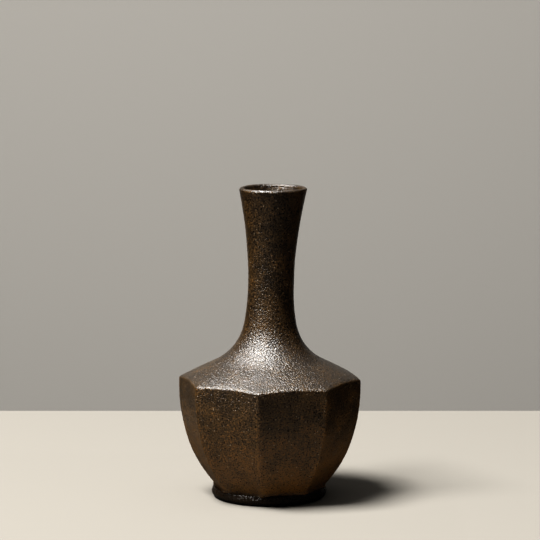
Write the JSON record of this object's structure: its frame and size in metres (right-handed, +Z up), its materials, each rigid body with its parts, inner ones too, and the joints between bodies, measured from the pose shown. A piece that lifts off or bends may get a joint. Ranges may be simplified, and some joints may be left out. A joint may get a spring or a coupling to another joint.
{
  "type": "bud vase",
  "caption": "Hand-built dark ceramic bud vase with an eight-sided belly, a cone-shaped shoulder, a long waisted neck and a round foot, for a few stems.",
  "frame": {"origin": "middle of the flat face under the foot ring", "axes": "+Z up along the neck's axis; the belly's flats face +X, -X, +Y, -Y and the directions between them"},
  "size_m": [0.0818, 0.0818, 0.15],
  "materials": {
    "iron_glaze": "semi-gloss dark brown-black with a fine orange-peel grain",
    "foot_clay": "satin black, worn on its lower edge",
    "bare_clay": "matt dark fired clay"
  },
  "bodies": {
    "root": {"foot_ring": "foot_clay", "floor_slab": "bare_clay", "floor_seam_coil": "bare_clay", "wall_panel_1": "iron_glaze", "wall_panel_2": "iron_glaze", "wall_panel_3": "iron_glaze", "wall_panel_4": "iron_glaze", "wall_panel_5": "iron_glaze", "wall_panel_6": "iron_glaze", "wall_panel_7": "iron_glaze", "wall_panel_8": "iron_glaze", "shoulder_seam_coil": "bare_clay", "shoulder": "iron_glaze", "neck": "iron_glaze", "lip_coil": "iron_glaze"}
  },
  "joints": []
}
